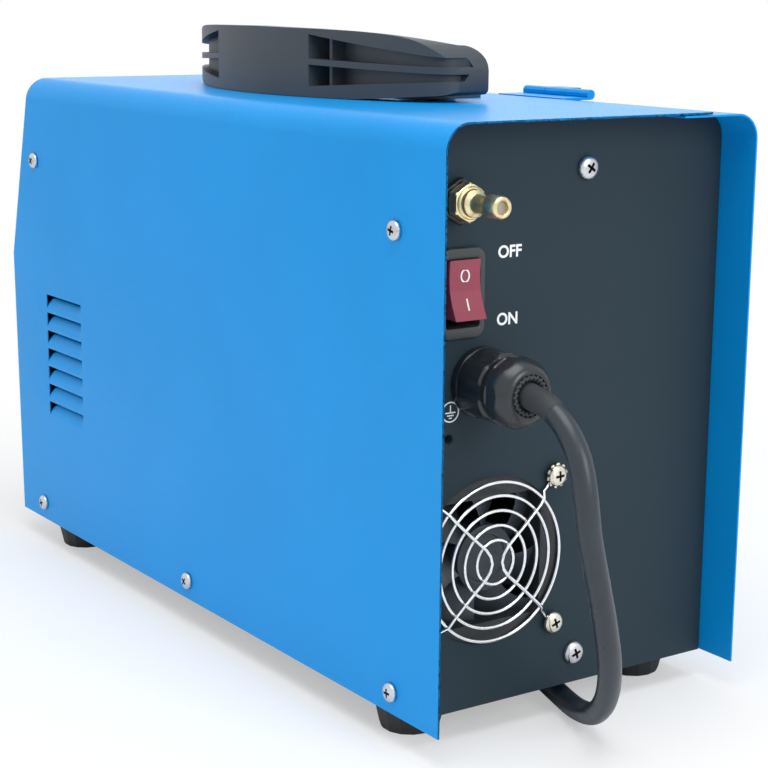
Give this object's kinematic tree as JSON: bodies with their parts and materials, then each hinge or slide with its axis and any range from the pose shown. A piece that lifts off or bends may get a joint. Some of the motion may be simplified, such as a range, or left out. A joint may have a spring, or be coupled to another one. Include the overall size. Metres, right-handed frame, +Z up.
{
  "type": "portable wire-feed welding machine",
  "caption": "Portable wire-feed arc welding power source: folded steel case on rubber feet, fold-flat handle, rear fan, switch, gas tail and mains lead, side wire compartment.",
  "frame": {"origin": "on the floor under the middle of the machine, without its loose mains lead", "axes": "+Z up, +Y towards the rear panel, +X towards the side with the louvres"},
  "size_m": [0.4076, 0.5919, 0.37],
  "materials": {
    "blue_paint": "satin powder coat",
    "black_paint": "fine matt powder coat",
    "zinc": "zinc plated",
    "nickel": "nickel plated",
    "chrome": "bright plated wire",
    "brass": "turned",
    "aluminium": "cast and machined",
    "black_plastic": "moulded",
    "handle_plastic": "moulded, fine grain",
    "red_plastic": "moulded",
    "rubber": "moulded",
    "cord_rubber": "extruded sheath",
    "board": "lacquered",
    "copper": "enamelled windings",
    "display": "clear window over black"
  },
  "bodies": {
    "casing": {"side_cover": "blue_paint", "left_frame": "blue_paint", "door_hinge_front": "blue_paint", "door_hinge_rear": "blue_paint", "base_pan": "black_paint", "rear_panel": "black_paint", "front_panel": "black_paint", "side_screw_front_low": "zinc", "side_screw_middle": "zinc", "side_screw_rear_low": "zinc", "side_screw_front_high": "zinc", "side_screw_rear_high": "zinc", "rear_screw_low": "zinc", "rear_screw_high": "zinc", "divider_panel": "zinc", "feed_motor": "zinc", "spool_axle": "zinc", "fan_screw_left_low": "nickel", "fan_screw_right_low": "nickel", "fan_screw_left_high": "nickel", "fan_screw_right_high": "nickel", "fan_guard": "chrome", "gas_fitting": "brass", "torch_socket": "brass", "feeder_block": "aluminium", "heat_sink": "aluminium", "fan_frame": "black_plastic", "switch_body": "black_plastic", "gas_nut": "black_plastic", "gland_body": "black_plastic", "gland_nut": "black_plastic", "positive_socket": "black_plastic", "negative_socket": "black_plastic", "spool_nut": "black_plastic", "power_plug": "black_plastic", "handle_bracket_front": "handle_plastic", "handle_bracket_rear": "handle_plastic", "gland_seal": "rubber", "foot_front_left": "rubber", "foot_front_right": "rubber", "foot_rear_left": "rubber", "foot_rear_right": "rubber", "power_cord": "cord_rubber", "power_cord_coil": "cord_rubber", "main_board": "board", "transformer": "copper", "display_window": "display"},
    "carry_handle": {"carry_handle": "handle_plastic"},
    "door": {"door": "blue_paint"},
    "door_latch": {"door_latch": "black_plastic"},
    "rocker": {"rocker": "red_plastic"},
    "fan_rotor": {"fan_rotor": "black_plastic"},
    "voltage_knob": {"voltage_knob": "black_plastic"},
    "wire_speed_knob": {"wire_speed_knob": "black_plastic"},
    "mode_button": {"mode_button": "red_plastic"},
    "drive_roll": {"drive_roll": "zinc"},
    "pressure_arm": {"pressure_arm": "aluminium"},
    "pressure_roll": {"pressure_roll": "zinc"},
    "tension_screw": {"tension_screw": "black_plastic"},
    "spool_hub": {"spool_hub": "black_plastic"}
  },
  "joints": [
    {"name": "handle_fold", "type": "hinge", "parent": "casing", "child": "carry_handle", "pos_m": [0.00065, -0.00765, 0.35], "axis": [0, -1, 0], "range_deg": [0, 90]},
    {"name": "door_swing", "type": "hinge", "parent": "casing", "child": "door", "pos_m": [-0.09235, -0.00765, 0.3318], "axis": [0, 1, 0], "range_deg": [0, 110]},
    {"name": "latch_turn", "type": "hinge", "parent": "door", "child": "door_latch", "pos_m": [-0.10095, -0.01765, 0.081], "axis": [-1, 0, 0], "range_deg": [0, 90]},
    {"name": "switch_rock", "type": "hinge", "parent": "casing", "child": "rocker", "pos_m": [0.07965, 0.22265, 0.242], "axis": [-1, 0, 0], "range_deg": [0, 22]},
    {"name": "fan_spin", "type": "hinge", "parent": "casing", "child": "fan_rotor", "pos_m": [0.05665, 0.20735, 0.0971], "axis": [0, 1, 0], "continuous": true},
    {"name": "voltage_turn", "type": "hinge", "parent": "casing", "child": "voltage_knob", "pos_m": [-0.05335, -0.23132, 0.25142], "axis": [0, 0.9649, -0.2625], "range_deg": [0, 270]},
    {"name": "wire_speed_turn", "type": "hinge", "parent": "casing", "child": "wire_speed_knob", "pos_m": [0.06265, -0.23132, 0.25142], "axis": [0, 0.9649, -0.2625], "range_deg": [0, 270]},
    {"name": "mode_press", "type": "slide", "parent": "casing", "child": "mode_button", "axis": [0, 0.9649, -0.2625], "range_m": [0, 0.0015], "stiffness_N_per_m": 300, "springref_m": -0.001},
    {"name": "drive_spin", "type": "hinge", "parent": "casing", "child": "drive_roll", "pos_m": [-0.03735, -0.16765, 0.09655], "axis": [1, 0, 0], "continuous": true},
    {"name": "arm_lift", "type": "hinge", "parent": "casing", "child": "pressure_arm", "pos_m": [-0.02835, -0.20365, 0.13545], "axis": [1, 0, 0], "range_deg": [0, 60]},
    {"name": "pressure_spin", "type": "hinge", "parent": "pressure_arm", "child": "pressure_roll", "pos_m": [-0.03735, -0.16765, 0.12345], "axis": [1, 0, 0], "continuous": true},
    {"name": "tension_swing", "type": "hinge", "parent": "casing", "child": "tension_screw", "pos_m": [-0.03735, -0.12965, 0.098], "axis": [1, 0, 0], "range_deg": [0, 50]},
    {"name": "spool_turn", "type": "hinge", "parent": "casing", "child": "spool_hub", "pos_m": [-0.03735, 0.04235, 0.165], "axis": [1, 0, 0], "continuous": true}
  ],
  "couplings": [
    {"joint": "pressure_spin", "follows": "drive_spin", "ratio": -1.3636}
  ]
}
